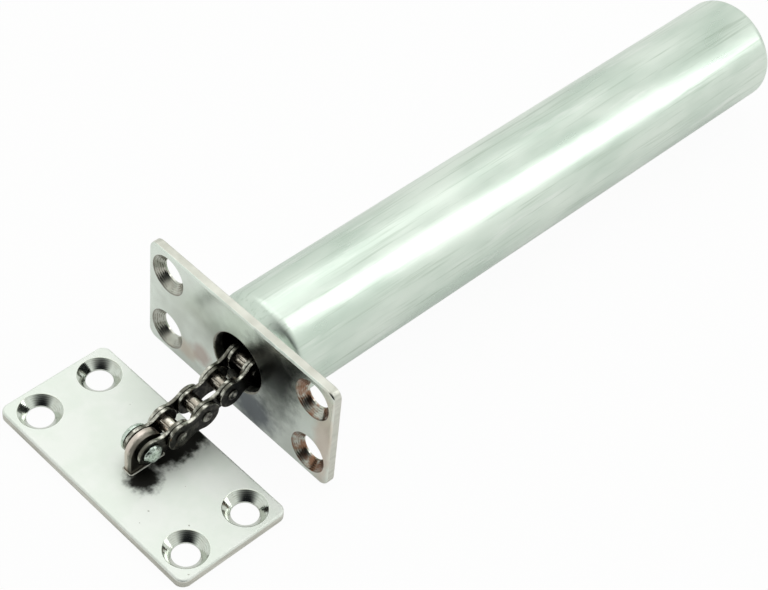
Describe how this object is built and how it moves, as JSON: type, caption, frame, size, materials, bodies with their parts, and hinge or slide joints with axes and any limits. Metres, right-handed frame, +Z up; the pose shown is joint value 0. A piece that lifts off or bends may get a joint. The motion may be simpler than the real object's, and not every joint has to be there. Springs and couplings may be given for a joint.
{
  "type": "concealed door closer",
  "caption": "Concealed door closer: a spring tube for the door's edge, with a bush chain that comes out of its face plate to an anchor plate for the frame.",
  "frame": {"origin": "centre of the face plate's seating side, on the tube's axis", "axes": "+Y along the tube into the door, X along the face plate's length, +Z up, away from the anchor plate's underside"},
  "size_m": [0.053, 0.1803, 0.026],
  "materials": {
    "face_plate": "polished nickel plate",
    "anchor_plate": "satin nickel plate",
    "tube": "zinc-plated drawn steel",
    "front_bush": "turned steel, oiled",
    "anchor_lug": "stamped steel, nickel flash",
    "anchor_rivet": "zinc-plated steel",
    "chain_plates": "dark oiled steel",
    "chain_bushes": "bright rolled steel",
    "chain_pins": "ground steel, riveted",
    "turned_steel": "turned steel",
    "spring": "hard-drawn spring wire, oiled"
  },
  "bodies": {
    "housing": {"face_plate": "face_plate", "tube": "tube", "front_bush": "front_bush", "thrust_washer": "turned_steel", "spring": "spring"},
    "drawbar": {"plunger": "turned_steel", "draw_rod": "turned_steel", "rod_washer": "turned_steel", "draw_nut": "turned_steel", "lock_nut": "turned_steel"},
    "link_9": {"inner_plate_left_9": "chain_plates", "inner_plate_right_9": "chain_plates", "bush_8": "chain_bushes", "draw_pin": "chain_pins"},
    "link_8": {"outer_plate_left_8": "chain_plates", "outer_plate_right_8": "chain_plates", "pin_7": "chain_pins", "pin_8": "chain_pins"},
    "link_7": {"inner_plate_left_7": "chain_plates", "inner_plate_right_7": "chain_plates", "bush_6": "chain_bushes", "bush_7": "chain_bushes"},
    "link_6": {"outer_plate_left_6": "chain_plates", "outer_plate_right_6": "chain_plates", "pin_5": "chain_pins", "pin_6": "chain_pins"},
    "link_5": {"inner_plate_left_5": "chain_plates", "inner_plate_right_5": "chain_plates", "bush_4": "chain_bushes", "bush_5": "chain_bushes"},
    "link_4": {"outer_plate_left_4": "chain_plates", "outer_plate_right_4": "chain_plates", "pin_3": "chain_pins", "pin_4": "chain_pins"},
    "link_3": {"inner_plate_left_3": "chain_plates", "inner_plate_right_3": "chain_plates", "bush_2": "chain_bushes", "bush_3": "chain_bushes"},
    "link_2": {"outer_plate_left_2": "chain_plates", "outer_plate_right_2": "chain_plates", "pin_1": "chain_pins", "pin_2": "chain_pins"},
    "link_1": {"inner_plate_left_1": "chain_plates", "inner_plate_right_1": "chain_plates", "bush_1": "chain_bushes"},
    "anchor": {"anchor_plate": "anchor_plate", "anchor_lug": "anchor_lug", "anchor_rivet": "anchor_rivet"}
  },
  "joints": [
    {"name": "drawbar_slide", "type": "slide", "parent": "housing", "child": "drawbar", "axis": [0, 1, 0], "range_m": [0, 0.0246], "deforming": ["spring"]},
    {"name": "rod_pivot", "type": "hinge", "parent": "drawbar", "child": "link_9", "pos_m": [0, 0.03195, 0], "axis": [1, 0, 0], "range_deg": [-0.7, 0]},
    {"name": "chain_pivot_8", "type": "hinge", "parent": "link_9", "child": "link_8", "pos_m": [0, 0.02561, -0.00025], "axis": [1, 0, 0], "range_deg": [-1.3, 0]},
    {"name": "chain_pivot_7", "type": "hinge", "parent": "link_8", "child": "link_7", "pos_m": [0, 0.01926, -0.0005], "axis": [1, 0, 0], "range_deg": [-3, 0]},
    {"name": "chain_pivot_6", "type": "hinge", "parent": "link_7", "child": "link_6", "pos_m": [0, 0.01292, -0.00075], "axis": [1, 0, 0], "range_deg": [-5, 0]},
    {"name": "chain_pivot_5", "type": "hinge", "parent": "link_6", "child": "link_5", "pos_m": [0, 0.00657, -0.001], "axis": [1, 0, 0], "range_deg": [-5.8, 0]},
    {"name": "chain_pivot_4", "type": "hinge", "parent": "link_5", "child": "link_4", "pos_m": [0, 0.00023, -0.00125], "axis": [1, 0, 0], "range_deg": [-3.1, 0]},
    {"name": "chain_pivot_3", "type": "hinge", "parent": "link_4", "child": "link_3", "pos_m": [0, -0.00576, -0.00337], "axis": [1, 0, 0], "range_deg": [0, 8.1]},
    {"name": "chain_pivot_2", "type": "hinge", "parent": "link_3", "child": "link_2", "pos_m": [0, -0.01191, -0.00496], "axis": [1, 0, 0], "range_deg": [0, 8.7]},
    {"name": "chain_pivot_1", "type": "hinge", "parent": "link_2", "child": "link_1", "pos_m": [0, -0.01817, -0.006], "axis": [1, 0, 0], "range_deg": [0, 4.5]},
    {"name": "anchor_pivot", "type": "hinge", "parent": "link_1", "child": "anchor", "pos_m": [0, -0.0245, -0.0065], "axis": [1, 0, 0], "range_deg": [-92.4, 0]}
  ],
  "couplings": [
    {"joint": "rod_pivot", "follows": "drawbar_slide", "rad_per_m": -0.4966},
    {"joint": "chain_pivot_8", "follows": "drawbar_slide", "rad_per_m": -0.9223},
    {"joint": "chain_pivot_7", "follows": "drawbar_slide", "rad_per_m": -2.1284},
    {"joint": "chain_pivot_6", "follows": "drawbar_slide", "rad_per_m": -3.5474},
    {"joint": "chain_pivot_5", "follows": "drawbar_slide", "rad_per_m": -4.115},
    {"joint": "chain_pivot_4", "follows": "drawbar_slide", "rad_per_m": -2.1993},
    {"joint": "chain_pivot_3", "follows": "drawbar_slide", "rad_per_m": 5.7468},
    {"joint": "chain_pivot_2", "follows": "drawbar_slide", "rad_per_m": 6.1725},
    {"joint": "chain_pivot_1", "follows": "drawbar_slide", "rad_per_m": 3.1926},
    {"joint": "anchor_pivot", "follows": "drawbar_slide", "rad_per_m": -65.556}
  ]
}
